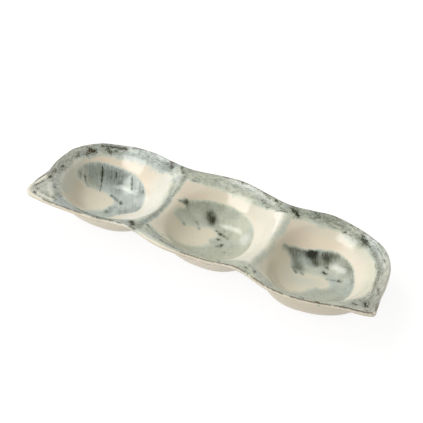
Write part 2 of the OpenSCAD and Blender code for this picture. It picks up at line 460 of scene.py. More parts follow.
# Plan of the glaze, in millimetres

# Outer edge of the brushed swirl in each well, and the bare patch that it leaves
SWIRLS = (
    ((-147, 3), (-146, 13), (-141, 22), (-134, 28), (-124, 32), (-112, 33.5), (-101, 32.5), (-91, 28),
     (-83.5, 19), (-79.5, 9), (-80.5, 0), (-87, -6), (-94, -12), (-99, -20), (-110, -26), (-120, -26),
     (-130, -20), (-140, -8)),
    ((-43, 11.6), (-37, 18.5), (-31, 24), (-24, 30), (-15, 33.5), (-4, 35.2), (6, 34.8), (15, 32.5),
     (23, 28), (29, 20), (32, 11), (32.5, 2), (30.5, -7), (25, -14), (15, -22), (0, -29), (-14, -33),
     (-28, -31), (-38, -6), (-40, 0), (-39.8, 4.5), (-38.4, 8), (-36.6, 10.4), (-36, 12.4), (-37, 14),
     (-39.4, 12.4)),
    ((62, 11), (66, 15), (70, 19), (76, 22), (82, 25), (88, 28), (94, 29.7), (100, 31), (106, 31),
     (112, 29.5), (118, 26.5), (124, 21), (128, 14), (131, 6), (132.5, -2), (132, -11), (128, -20),
     (118, -26), (103, -28), (86, -24), (70, -10)),
)
PATCHES = (
    ((-146, -4), (-141, 0.5), (-134, 1.5), (-127, 4), (-121, 7), (-114, 6.5), (-108.5, 2.5), (-107, -5),
     (-110, -12), (-116, -18), (-124, -26), (-140, -26)),
    ((-40, -4), (-33, -2.5), (-28, 1.5), (-22, 6), (-15, 11), (-8, 12), (-3, 9), (-4.5, 3), (-4, -3),
     (-8, -8.5), (-14, -12.5), (-22, -19.5), (-28, -25), (-38, -30), (-44, -14)),
    ((65, 9), (71, 7), (73, 2), (78, 0), (84, 1.5), (90, 4.5), (98, 6.5), (106, 5), (111, 0.5), (108, -3),
     (101, -6), (96, -12), (89, -20), (78, -28), (66, -14)),
)

Stroke = collections.namedtuple("Stroke", "width dark points")


def strokes_from_rows(*rows):
    """Strokes from rows: half width, how much darker, or paler where negative, and points."""
    return [Stroke(width, dark, np.array(points, float)) for width, dark, *points in rows]


# Broad soft changes of the wash, with some pale strokes that are painted highlights in the left and right
# wells
STAINS_AND_HIGHLIGHTS = strokes_from_rows(
    (15, 0.12, (-141, 12), (-135, 20), (-126, 26), (-114, 28)), (13, 0.1, (-121, 24), (-114, 18)),
    (9, -0.12, (-146, 8), (-142, 4)), (16, -0.05, (-97, 22), (-88, 8)),
    (12, -0.06, (-100, 2), (-90, -3)), (7, 0.14, (-108, -3), (-106, -13)),
    (8, -0.1, (-126, -25), (-98, -24)), (9, 0.14, (-92, 24), (-85, 12), (-84, 2), (-92, -6)),
    (14, 0.1, (-17, 23), (-11, 18)), (9, -0.06, (-27, 16), (-21, 10)), (13, -0.06, (16, 24), (24, 8)),
    (11, 0.12, (75, 8), (80, 6)), (7, -0.12, (86, 11), (92, 12)),
    # The first stroke on the next line is a painted highlight on the right well's swirl
    (10, -0.08, (106, 18), (118, 14), (127, 2)), (10, 0.12, (118, 22), (127, 9), (130, -4), (125, -18)),
    (10, 0.06, (104, -6), (114, -5)),
    (12, 0.1, (-158, 2), (-153, 20), (-146, 30), (-136, 38), (-128, 42)),
    (8, 0.08, (-156, -8), (-157, -22)), (2.6, -0.3, (-117, 46), (-108, 46.4)),
    (8, 0.12, (-76, 44), (-68, 43)), (3.2, -0.36, (-151, -32), (-147.5, -38), (-141, -43)),
    (2.8, -0.5, (-153, -49.4), (-147, -50), (-136, -51)), (1.8, -0.6, (-159.8, -27), (-161.6, -38)),
    (3.4, -0.6, (-166, -38), (-164.4, -48.5), (-157, -53), (-146, -55)),
    (7, 0.14, (-62, -39), (-55, -43)), (6, 0.14, (-110, -45), (-95, -47), (-78, -46)),
    (9, 0.1, (24, 44), (34, 40), (44, 37)), (9, 0.14, (56, 41), (62, 39)),
    (7, 0.1, (72, 46), (84, 47), (100, 49)), (7, 0.14, (121, 43), (126, 39)),
    (3, 0.1, (126, 39), (135, 33), (142, 25), (148, 14), (151, 3), (153, -10), (155, -28)),
    (9, 0.07, (75, 47), (100, 48), (125, 42), (150, 20), (157, -5)), (9, 0.1, (146, -28), (154, -31)),
    (7, -0.1, (152, 24), (158, 6), (159, -10)), (8, 0.1, (48, -36), (56, -41)),
    (5, -0.3, (-50, -48), (-42, -49), (-30, -51), (-18, -52.4), (-6, -53)),
    (6, -0.12, (-37, 4), (-30, 6)),
    (9, -0.12, (0, -46), (20, -43), (40, -39), (56, -41), (75, -44), (95, -46), (130, -41)),
    # Painted highlights on the left well's floor, where the high lamp's reflection falls
    (5.5, -0.28, (-108.5, 26.5), (-105.5, 22), (-103, 18)), (2.2, -0.22, (-107.5, 31), (-106.5, 27.5)),
    (2.2, -0.2, (-97.5, 29), (-94, 22.5)),
)
# Dark clouds in the wells, broken up by the brush
CLOUDS = strokes_from_rows(
    (12, 0.12, (-138, 16), (-133, 21), (-126, 26), (-114, 28)),
    (8, 0.12, (-41, 13), (-34, 20), (-25, 26.5), (-12, 31), (4, 32)),
    (6.4, 0.5, (-16.5, 23), (-13, 22.2)), (5, 0.26, (-13, 19.4), (-12, 17.5)),
    (7.5, 0.4, (64, 12), (70, 17.5), (78, 22.5), (84, 24.5)), (7, 0.3, (84, 24), (97, 27.5), (104, 28)),
    (8, 0.36, (84.5, 22.5), (88.5, 18)), (5, 0.3, (91, 18.6), (93, 17.6)),
    (7.5, 0.42, (97.4, 26), (100, 21.5)), (8, 0.2, (106, 29), (118, 24), (127, 13)),
    (8, 0.24, (74, 10), (80, 6)),
)
# Thin veils of wash on the bare walls
VEILS = strokes_from_rows(
    (13, 0.6, (-150, 12), (-151, -6), (-143, -26)),
    (12, 0.3, (-70, 30), (-61, 20), (-57, 2), (-59, -18)),
    (11, 0.6, (-122, -36), (-92, -38), (-66, -32)), (7, 0.3, (-40, 32), (-20, 38), (10, 38)),
    (9, 0.25, (20, 38), (34, 31), (44, 22)), (7, 0.4, (60, 34), (85, 40), (112, 41)),
    (10, 0.5, (118, 38), (134, 29), (144, 12), (147, -8)), (9, 0.5, (62, -30), (82, -37), (112, -39)),
    (16, 0.5, (82, -6), (98, -2)),
)
# A painted shadow of the rim on the left well's left wall, where the cream turns to the darker underside
# colour
PAINTED_SHADOW_PLACES = strokes_from_rows((11, 0.8, (-142, -6), (-138, -15), (-130, -23)))
# Dark pooled strokes in the wells
POOLS = strokes_from_rows(
    (0.65, 1, (-134, 25.5), (-131.5, 20), (-129.5, 16)),
    (0.5, 0.8, (-129.5, 16), (-127.5, 11.5), (-125.5, 6.5)),
    (0.8, 0.7, (-105, 30.5), (-102.5, 26), (-100, 22)),
    (1.3, 1, (-114, 8), (-110, 6.6), (-105.5, 4.8)), (1.3, 0.8, (-102, 4.4), (-100, 3)),
    (1.3, 0.5, (-145, 5), (-143.5, 2)), (1, 0.6, (-141.5, 7), (-139, 4), (-136, 2.4)),
    (1.8, 0.55, (-106.5, -6), (-105.5, -7.5)), (1.6, 0.55, (-106.5, -11.5), (-105.5, -12.5)),
    (1.3, 0.4, (-103, -3), (-102, -4)), (0.6, 0.4, (-121, 29), (-119, 25)),
    (1, 0.35, (-88.5, 23.5), (-87.5, 22)), (0.9, 0.5, (-42, 12.2), (-39, 15)),
    (1.6, 1, (-38.8, 15.4), (-38, 16.6)), (1, 0.8, (-5, 13.2), (-2, 12.4)),
    (1.5, 1, (-0.8, 11.6), (0.8, 11.2)), (1.1, 0.55, (4, 10.8), (8, 9.6)),
    (1.3, 0.9, (1.2, 5), (2, 4.6)), (1.2, 0.9, (7.8, 0.6), (7.6, -1.6), (5, -3)),
    (2, 0.35, (-4, 0.5), (-2, -0.5)), (1.2, 0.85, (-19.6, 7.6), (-19, 7)),
    (1, 0.6, (-24, 11.5), (-21.5, 9.8)), (1, 0.6, (-31, 0.8), (-30.4, 0.2)),
    (0.8, 0.4, (2, 16.5), (2.6, 16.2)), (0.8, 0.45, (14, -6.6), (15, -7.4)),
    (0.9, 0.6, (100.5, 17.8), (103, 17.4)), (1.2, 0.85, (100.5, 12.6), (103, 11.8)),
    (0.9, 0.5, (110, 7.6), (114, 8.2)), (1.3, 0.85, (116, 8.8), (117.4, 8.2)),
    (1, 0.5, (106, 7), (107, 6.8)), (1.3, 0.8, (79, 1.4), (80.4, 0.8)),
    (1.3, 0.65, (84.4, 2.8), (86, 2.2)), (1.2, 0.45, (76, 3.5), (78, 1.6)),
)
# Dark marks on the rim
MARKS = strokes_from_rows(
    (0.9, 0.9, (-141, 37.2), (-133, 40.8), (-127, 43.2)),
    (1.5, 1, (-126.4, 43.4), (-121.7, 44.6), (-118.4, 45.5)),
    (2.2, 0.95, (-149, 27.5), (-146, 27), (-144.6, 28)), (1.8, 0.75, (-147.5, 24), (-148, 21.5)),
    (1.6, 0.6, (-153.5, 16), (-152.5, 14)), (1.6, 0.9, (-135, 37.6), (-131.5, 36.6)),
    (1.2, 0.6, (-128, 40.2), (-126.5, 39.8)), (1.1, 0.6, (-113, 48.6), (-104, 49.4)),
    (1.6, 0.6, (-95, 50.2), (-89, 50)), (2.2, 0.95, (-70, 46), (-68, 43), (-66.4, 41.6)),
    (1.6, 0.6, (-76, 44.5), (-71, 43.6)), (1.3, 0.8, (-58, 45.6), (-57, 42.6)),
    (1.1, 0.65, (-55.5, 41), (-53, 38)), (1, 0.6, (-41, 34.8), (-36.5, 36.4)),
    (2, 0.6, (-156.5, -5), (-156, -8)), (2.2, 0.55, (-158.5, -15), (-158, -19)),
    (1.7, 0.75, (-156.5, -24), (-155.5, -26)), (1.2, 0.9, (-162.4, -25.5), (-164.6, -33)),
    (1.2, 0.85, (-157.8, -33), (-159.8, -40.8)), (1.4, 0.6, (-157, -43), (-155.5, -45)),
    (1.5, 1, (-155.6, -49.4), (-153.6, -50.2)), (1.2, 0.85, (-148.8, -51.2), (-147.2, -51.4)),
    (0.8, 0.5, (-151, -47.6), (-146, -46.8), (-139, -47.6)), (0.9, 0.75, (-144, -51), (-137.5, -52)),
    (1.2, 0.55, (-146, -31.6), (-145, -33.6)), (1, 0.65, (-138, -38.6), (-137, -41.5)),
    (1, 0.65, (-134.4, -38), (-133, -41)), (1.2, 0.5, (-137, -47), (-134, -47.4)),
    (1.7, 1, (-61, -38), (-58.6, -39.4), (-56.6, -42.4)), (1.3, 0.8, (-45, -35.5), (-44, -37)),
    (1.4, 0.7, (-90, -47), (-88, -49)), (1.4, 0.55, (-78, -45.6), (-74, -46)),
    (1.2, 0.7, (24, 50), (28, 47.6), (31.5, 45.6)), (1.6, 0.55, (25.5, 43), (28, 40.4)),
    (1.4, 0.95, (37.6, 45.4), (39.6, 44.8)), (1, 0.7, (43, 43.4), (44, 42.8)),
    (1.2, 0.75, (43, 35.2), (47, 36.2), (53, 36)), (1.2, 0.55, (31, 39), (33, 37.4)),
    (1.2, 0.8, (55, 43), (57, 39)), (2.4, 0.95, (59, 40.4), (62.4, 38)),
    (1.4, 0.55, (60, 34), (62, 33)), (1.6, 0.5, (76, 48), (78, 46.6)),
    (0.9, 0.7, (104.4, 43.2), (106, 43.4)), (1, 0.5, (108, 49.2), (115, 48.6)),
    (1.6, 1, (121.6, 41.6), (123.4, 40.8), (125.4, 40.2)), (1.4, 0.8, (120.6, 44.4), (122.4, 43.6)),
    (1.1, 0.25, (126, 40), (135, 33), (142, 25), (147, 15)),
    (1.2, 0.28, (147, 15), (150.4, 4), (152.4, -8), (154.6, -26)),
    (1, 0.35, (128, 44), (137, 37), (144, 30)), (1.3, 0.8, (148, 25), (149, 23.4)),
    (1.6, 0.6, (157, -10), (159, -16)), (1.3, 0.9, (144.6, -34), (147.4, -34.8)),
    (1.7, 0.85, (153, -30), (155.4, -33)), (1.4, 0.4, (146, -24), (149, -27)),
    (1.3, 0.8, (105, -46.4), (108, -48)), (1.6, 0.9, (118.6, -46.4), (121.6, -47.6)),
    (1.3, 0.75, (52.4, -40.6), (54, -41.6)), (1.3, 0.75, (60, -40), (61.4, -42)),
    (1.1, 0.75, (26, -37.6), (29, -43)), (1.4, 0.75, (-0.6, 52.8), (0.8, 52)),
    (0.9, 0.6, (-26, -46), (-10, -47.6), (2, -46)), (0.8, 0.75, (-32, -37), (-27, -34.8)),
    (0.8, 0.6, (-29.4, -41.7), (-24.4, -41.8)),
)


def stroke_gap(stroke, places):
    """Distance from each place to a stroke, as a share of the stroke's half width."""
    gap = np.full(len(places), np.inf)
    for a, b in zip(stroke.points[:-1], stroke.points[1:]):
        share = np.clip((places - a) @ (b - a) / ((b - a) @ (b - a)), 0, 1)
        gap = np.minimum(gap, np.linalg.norm(places - a - share[:, None] * (b - a), axis=1))
    return gap / stroke.width


# A dark stroke fades out over this many times its half width
STROKE_HALO = 2.6


def stroke_depth(strokes, places):
    """How dark strokes make each place, from their darkness in the middle to 0 at the halo's edge."""
    depths = [1 - stroke_gap(stroke, places) / STROKE_HALO for stroke in strokes]
    return np.max([stroke.dark * np.maximum(0, depth) ** 2 for stroke, depth in zip(strokes, depths)], 0)


def soft_stroke_sum(strokes, places):
    """Soft strokes together, each from its darkness in the middle to 0 at its edge."""
    depths = [1 - stroke_gap(stroke, places) ** 2 for stroke in strokes]
    return sum(stroke.dark * np.maximum(0, depth) ** 2 for stroke, depth in zip(strokes, depths))


# Lines that the wash left along the two crests: where, how much wider each is on its left, how strong
CRESTS = ((-49, 3.4, 1), (57, 2, 0.44))
# Width of the band along the lip, at places along the tray, and the share of a well's reach beyond
# which the tips are covered
BAND_PLACES = (-160, -138, -100, -50, 0, 60, 130, 160)
BAND_WIDTHS = (14, 9, 10.5, 14, 12, 11.5, 10.5, 13)
TIP_SHARE = 0.98
# Hue of the wash along the tray, from 0, bluish, to 1, olive
HUE_PLACES = (-165, -135, -118, -72, -50, 90, 130, 165)
HUE_LEVELS = (0.4, 0.4, 0.1, 0.2, 0.7, 0.65, 0.6, 0.6)


def crest_gap(places):
    """Distance from the nearest line on a crest, its left side shortened, and that line's strength."""
    lines, widenings, strengths = np.array(CRESTS).T
    offset = places[:, :1] - lines
    gaps = np.maximum(offset, -offset / widenings)
    return gaps.min(1), strengths[gaps.argmin(1)]


def well_side(places):
    """How far to the right each place lies in its own well, from -1 to 1."""
    shares = [well_share(well, places) for well in WELLS]
    sides = [well_offset(well, places)[0] for well in WELLS]
    return np.choose(np.argmin(shares, axis=0), sides)


def band_reach(places, distance):
    """How far inside the edge of the rim's band each place lies, negative outside."""
    reach = np.interp(places[:, 0], BAND_PLACES, BAND_WIDTHS) - distance
    for well, side in ((WELLS[LEFT], -1), (WELLS[RIGHT], 1)):
        outward = side * (places[:, 0] - well.middle[0]) > 0
        tip = (well_share(well, places) - TIP_SHARE) * side_reach
        reach = np.where(outward, np.maximum(reach, tip), reach)
    return reach


# Sides of the clay
TOP, UNDER = -1, 1


def measures(places, side):
    """What the glaze needs to know of each place, on its side of the clay."""
    distance, along = nearest_on(lip_guide, places)
    first = along.astype(int)
    run = mix(lip_run[first], lip_run[first + 1], along - first)
    turn = 2 * math.pi * run / lip_length
    ring = lip_length / (2 * math.pi)
    crest, crest_strength = crest_gap(places)
    return {
        "girth": side * (distance + LIP_HALF_GIRTH - LIP_RADIUS),
        "ring_x": ring * np.cos(turn),
        "ring_y": ring * np.sin(turn),
        "band": band_reach(places, distance),
        "crest": crest,
        "crest_strength": crest_strength,
        "well_side": well_side(places),
        "hue": np.interp(places[:, 0], HUE_PLACES, HUE_LEVELS),
        "swirl": np.max([depth_inside(points, places) for points in SWIRLS], axis=0),
        "patch": np.max([depth_inside(points, places) for points in PATCHES], axis=0),
        "stain_and_highlight": soft_stroke_sum(STAINS_AND_HIGHLIGHTS, places),
        "cloud": soft_stroke_sum(CLOUDS, places),
        "veil": soft_stroke_sum(VEILS, places),
        "painted_shadow": soft_stroke_sum(PAINTED_SHADOW_PLACES, places),
        "pool": stroke_depth(POOLS, places),
        "mark": stroke_depth(MARKS, places),
    }


# Skins of the pieces

# Keeps a divisor from being 0
TINY = 1e-12


def unit(vectors):
    return vectors / (np.linalg.norm(vectors, axis=1, keepdims=True) + TINY)


class Skin:
    """Points of one piece, the side of the clay that each is on, outer faces and hidden joint faces."""

    def __init__(self):
        self.points = np.empty((0, 3))
        self.sides = np.empty(0)
        self.outer = []
        self.joint = []

    def add(self, points, side):
        """Adds points on one side of the clay and returns their numbers, in the same shape."""
        numbers = len(self.points) + np.arange(points[..., 0].size).reshape(points.shape[:-1])
        self.points = np.vstack([self.points, points.reshape(-1, 3)])
        self.sides = np.append(self.sides, np.full(numbers.size, side))
        return numbers


def quads(rows, closed=False):
    """Faces between neighbouring numbers of a grid, whose rows may close on themselves."""
    if closed:
        rows = np.hstack([rows, rows[:, :1]])
    corners = [rows[:-1, :-1], rows[:-1, 1:], rows[1:, 1:], rows[1:, :-1]]
    return np.stack(corners, -1).reshape(-1, 4).tolist()


def flipped(faces):
    return [face[::-1] for face in faces]


def fan(middle, ring):
    return [[middle, a, b] for a, b in zip(ring.tolist(), np.roll(ring, -1).tolist())]


def bowl_skin(well):
    """A bowl: rings inside, rings outside, and the upright joint to the rim and the dividers."""
    skin = Skin()
    angles = np.arange(LOOP_STEPS) * LOOP_ANGLE
    middle = WELLS[well].middle
    shares = np.linspace(0, 1, INNER_RINGS + 1)[1:, None] * BOWL_EDGE_SHARE
    top = skin.add(on_top(well_place(WELLS[well], angles, shares)), TOP)
    top_middle = skin.add(on_top(middle[None]), TOP)[0]
    shares = np.linspace(seat_share, BOWL_EDGE_SHARE, OUTER_RINGS)[:, None]
    under = skin.add(on_under(well_place(WELLS[well], angles, shares)), UNDER)
    under_middle = skin.add(on_under(middle[None]), UNDER)[0]
    skin.outer += flipped(quads(top, closed=True)) + fan(top_middle, top[0])
    skin.outer += quads(under, closed=True) + flipped(fan(under_middle, under[0]))
    skin.joint += quads(np.stack([under[-1], top[-1]]), closed=True)
    return skin


def border(grid):
    """The four edges of a grid of numbers, one after the other round it."""
    return grid[0], grid[:, -1], grid[-1, ::-1], grid[::-1, 0]


def divider_skin(left_well):
    """A divider: a saddle between two bowls, with joints all round."""
    skin = Skin()
    angles = np.arange(-DIVIDER_STEPS, DIVIDER_STEPS + 1)[:, None] * LOOP_ANGLE
    shares = np.arange(CREST_STEPS + 1) / CREST_STEPS
    places = divider_place(left_well, angles, shares)
    top = skin.add(on_top(places), TOP)
    under = skin.add(on_under(places), UNDER)
    skin.outer += quads(top) + flipped(quads(under))
    for top_edge, under_edge in zip(border(top), border(under)):
        skin.joint += quads(np.stack([under_edge, top_edge]))
    return skin


def rim_skin():
    """The rim: sections side by side round the tray, out over the top, round the lip and back."""
    skin = Skin()
    outward = unit(lip_line - inner_line)
    turn = lip_line - outward * LIP_RADIUS
    top_rows = [on_top(mix(inner_line, turn, row / RIM_ROWS)) for row in range(RIM_ROWS)]
    under_rows = [on_under(mix(inner_line, turn, row / UNDER_ROWS)) for row in range(UNDER_ROWS)]
    for angle in np.linspace(0, math.pi / 2, LIP_STEPS + 1):
        place = turn + outward * LIP_RADIUS * math.sin(angle)
        sink = np.array([0, 0, LIP_RADIUS * (1 - math.cos(angle))])
        top_rows.append(on_top(place) - sink)
        under_rows.append(on_under(place) + sink)
    top = skin.add(np.stack(top_rows), TOP)
    under = skin.add(np.stack(under_rows), UNDER)
    skin.outer += flipped(quads(np.vstack([top, under[::-1]]), closed=True))
    skin.joint += quads(np.stack([top[0], under[0]]), closed=True)
    return skin


def foot_skin(well):
    """A foot ring, turned, with its edges worn round."""
    skin = Skin()
    inner, outer = foot_radius - FOOT_WIDTH, foot_radius
    turns = np.linspace(0, math.pi / 2, LIP_STEPS)
    profile = [(inner, foot_height), (outer, foot_height)]
    for radius, way, angles in ((outer, -1, turns), (inner, 1, turns[::-1])):
        for angle in angles:
            worn = FOOT_ROUNDING * (1 - math.cos(angle))
            profile.append((radius + way * worn, FOOT_ROUNDING * (1 - math.sin(angle))))
    radius, height = np.array(profile).T
    around = np.arange(FOOT_STEPS) * 2 * math.pi / FOOT_STEPS
    x = WELLS[well].middle[0] + radius[:, None] * np.cos(around)
    y = WELLS[well].middle[1] + radius[:, None] * np.sin(around)
    z = np.broadcast_to(height[:, None], x.shape)
    rings = skin.add(np.stack([x, y, z], -1), UNDER)
    skin.outer += flipped(quads(np.vstack([rings, rings[:1]]), closed=True))
    return skin


# Meshes

# Points that agree to this many decimals of a millimetre are one place
SEAM_DECIMALS = 4


def placed(name, data):
    """A new object in the scene."""
    made = bpy.data.objects.new(name, data)
    bpy.context.scene.collection.objects.link(made)
    return made


def face_normals(points, faces):
    """Area-weighted normals of faces of three or four corners, from their diagonals."""
    corners = np.array([face if len(face) == 4 else face + face[-1:] for face in faces])
    a, b, c, d = (points[corners[:, i]] for i in range(4))
    return np.cross(c - a, d - b)


def shared_normals(skins):
    """Smooth normals over the outer faces of all skins together, so that no seam shows."""
    rounded = np.round(np.vstack([skin.points for skin in skins]), SEAM_DECIMALS)
    _, same = np.unique(rounded, axis=0, return_inverse=True)
    own = np.split(same.ravel(), np.cumsum([len(skin.points) for skin in skins])[:-1])
    sums = np.zeros((same.max() + 1, 3))
    for skin, numbers in zip(skins, own):
        for normal, face in zip(face_normals(skin.points, skin.outer), skin.outer):
            sums[numbers[face]] += normal
    sums = unit(sums)
    return [sums[numbers] for numbers in own]


def write_mesh(name, skin, normals, material):
    """Makes the piece's object from its skin, with its shared normals and the glaze's measures."""
    mesh = bpy.data.meshes.new(name)
    mesh.from_pydata((skin.points * MM).tolist(), [], skin.outer + skin.joint)
    mesh.polygons.foreach_set("use_smooth", [True] * len(skin.outer) + [False] * len(skin.joint))
    joint_normals = face_normals(skin.points, skin.joint) if skin.joint else []
    corners = [normals[number] for face in skin.outer for number in face]
    corners += [normal for normal, face in zip(joint_normals, skin.joint) for _ in face]
    mesh.normals_split_custom_set(unit(np.array(corners)).tolist())
    for label, values in measures(skin.points[:, :2], skin.sides).items():
        attribute = mesh.attributes.new(label, "FLOAT", "POINT")
        attribute.data.foreach_set("value", values.astype(np.float32))
    mesh.materials.append(material)
    return placed(name, mesh)


# Materials

def srgb(*levels):
    """A node's colour from red, green and blue as they show on a screen, from 0 to 255."""
    shares = [level / 255 for level in levels]
    return tuple(v / 12.92 if v <= 0.04045 else ((v + 0.055) / 1.055) ** 2.4 for v in shares) + (1,)


# Sockets of the Mix node that hold colours
MIX_A, MIX_B, MIX_RESULT = 6, 7, 2


class Shader:
    """Short names for the nodes of one material or world."""

    def __init__(self, owner):
        owner.use_nodes = True
        self.owner = owner
        self.tree = owner.node_tree
        self.tree.nodes.clear()

    def feed(self, socket, value):
        if isinstance(value, bpy.types.NodeSocket):
            self.tree.links.new(value, socket)
        else:
            socket.default_value = value

    def make(self, kind, **inputs):
        """A node with its inputs fed by name."""
        made = self.tree.nodes.new("ShaderNode" + kind)
        for key, value in inputs.items():
            self.feed(made.inputs[key.replace("_", " ")], value)
        return made

    def node(self, kind, output=0, **inputs):
        """One output of such a node."""
        return self.make(kind, **inputs).outputs[output]

    def measure(self, name):
        made = self.make("Attribute")
        made.attribute_name = name
        return made.outputs["Fac"]

    def math(self, operation, *values):
        made = self.make("Math")
        made.operation = operation
        for socket, value in zip(made.inputs, values):
            self.feed(socket, value)
        return made.outputs[0]

    def chain(self, operation, values):
        """An operation on the first two values, then on the result and the third, and so on."""
        return functools.reduce(lambda total, value: self.math(operation, total, value), values)

    def add(self, *values):
        return self.chain("ADD", values)

    def times(self, *values):
        return self.chain("MULTIPLY", values)

    def most(self, *values):
        return self.chain("MAXIMUM", values)

    def between(self, value, low, high):
        """A value from 0 to 1 as one from low to high."""
        return self.math("MULTIPLY_ADD", value, high - low, low)

    def spread(self, value, size):
        """A noise value from 0 to 1 as a length from -size to size."""
        return self.between(value, -size, size)

    def step(self, value, low, high):
        """0 as far as low, 1 past high, smooth between. High may be the smaller number."""
        made = self.make("MapRange", Value=value, From_Min=low, From_Max=high)
        made.interpolation_type = "SMOOTHSTEP"
        return made.outputs["Result"]

    def stretched(self, vector, lengths):
        """A vector with each way divided by a length."""
        made = self.make("VectorMath")
        made.operation = "DIVIDE"
        self.feed(made.inputs[0], vector)
        made.inputs[1].default_value = lengths
        return made.outputs[0]

    def millimetres(self):
        """A place on the object in millimetres."""
        return self.stretched(self.node("TexCoord", "Object"), (MM, MM, MM))

    def noise(self, vector, size, detail=3, roughness=0.55, distortion=0):
        """Noise from 0 to 1, of one size or of a size each way."""
        if isinstance(size, tuple):
            vector, size = self.stretched(vector, size), 1
        return self.node("TexNoise", "Fac", Vector=vector, Scale=1 / size, Detail=detail,
                         Roughness=roughness, Distortion=distortion)

    def blend(self, share, a, b, kind="MIX"):
        made = self.make("Mix")
        made.data_type = "RGBA"
        made.blend_type = kind
        self.feed(made.inputs["Factor"], share)
        self.feed(made.inputs[MIX_A], a)
        self.feed(made.inputs[MIX_B], b)
        return made.outputs[MIX_RESULT]

    def ramp(self, value, *stops):
        """Colours along a value, given as (place, colour) pairs."""
        made = self.make("ValToRGB", Fac=value)
        elements = made.color_ramp.elements
        while len(elements) < len(stops):
            elements.new(0.5)
        for element, (place, colour) in zip(elements, stops):
            element.position = place
            element.color = colour
        return made.outputs["Color"]

    def finish(self, **inputs):
        """Ends in a Principled surface with these inputs."""
        self.make("OutputMaterial", Surface=self.node("BsdfPrincipled", **inputs))
        return self.owner


# Colours as they show in even light
# The ivory is painted light on the well walls that face the lamps, the peach painted shade on the back
# walls
PAINTED_LIGHT_IVORY = srgb(243, 240, 228)
PAINTED_SHADE_PEACH = srgb(241, 227, 204)
SAND = srgb(238, 230, 207)
UNDERSIDE = srgb(213, 202, 180)
# The wash from thin to thick
WASH = ((0, srgb(232, 231, 218)), (0.15, srgb(223, 224, 213)), (0.32, srgb(203, 206, 197)),
        (0.52, srgb(169, 173, 165)), (0.74, srgb(117, 121, 107)), (0.9, srgb(72, 75, 59)),
        (1, srgb(44, 45, 32)))
BLUE_TINT = srgb(243, 249, 250)
OLIVE_TINT = srgb(252, 252, 238)
WARM_TINT = srgb(254, 250, 243)
RUST = srgb(92, 72, 46)
PALE_CLAY = srgb(206, 182, 156)
WARM_CLAY = srgb(188, 160, 130)
GROG = srgb(128, 98, 72)

# Usual thickness of the wash on the rim, on the crests and in the swirls
BAND_LEVEL, CREST_LEVEL, SWIRL_LEVEL = 0.4, 0.55, 0.35
# Turn in plan of the streaks that the wash left as it ran
STREAK_TURN = math.radians(-63)

# Where the glaze changes, from its first look to its second, in millimetres across the tray
FRONT = (-18, -36)
# Where the painted shade, warmer towards the back, comes in
PAINTED_SHADE_BACK = (2, 28)
# The same along the tray
STREAKS_FADE = (-80, -60)
# Where the painted light on the right walls fades along the tray
PAINTED_LIGHT_FADES = (-50, 140)
WARM_TIPS = (138, 160)
RIGHT_END = (130, 148)
BROWN_MARKS = (-94, -116)
# The same round the lip, from the middle of its face, where under the lip is positive
UPPER_FACE = (-1.6, -2.6)
GLAZED_SIDE = (2.6, 1.4)
CLAY_SHOWS = (-3, 2.5)
ROUGH_SIDE = (1, 5)
# The lip's two edges, measured the same way
UPPER_EDGE, LOWER_EDGE = -2.3, 2


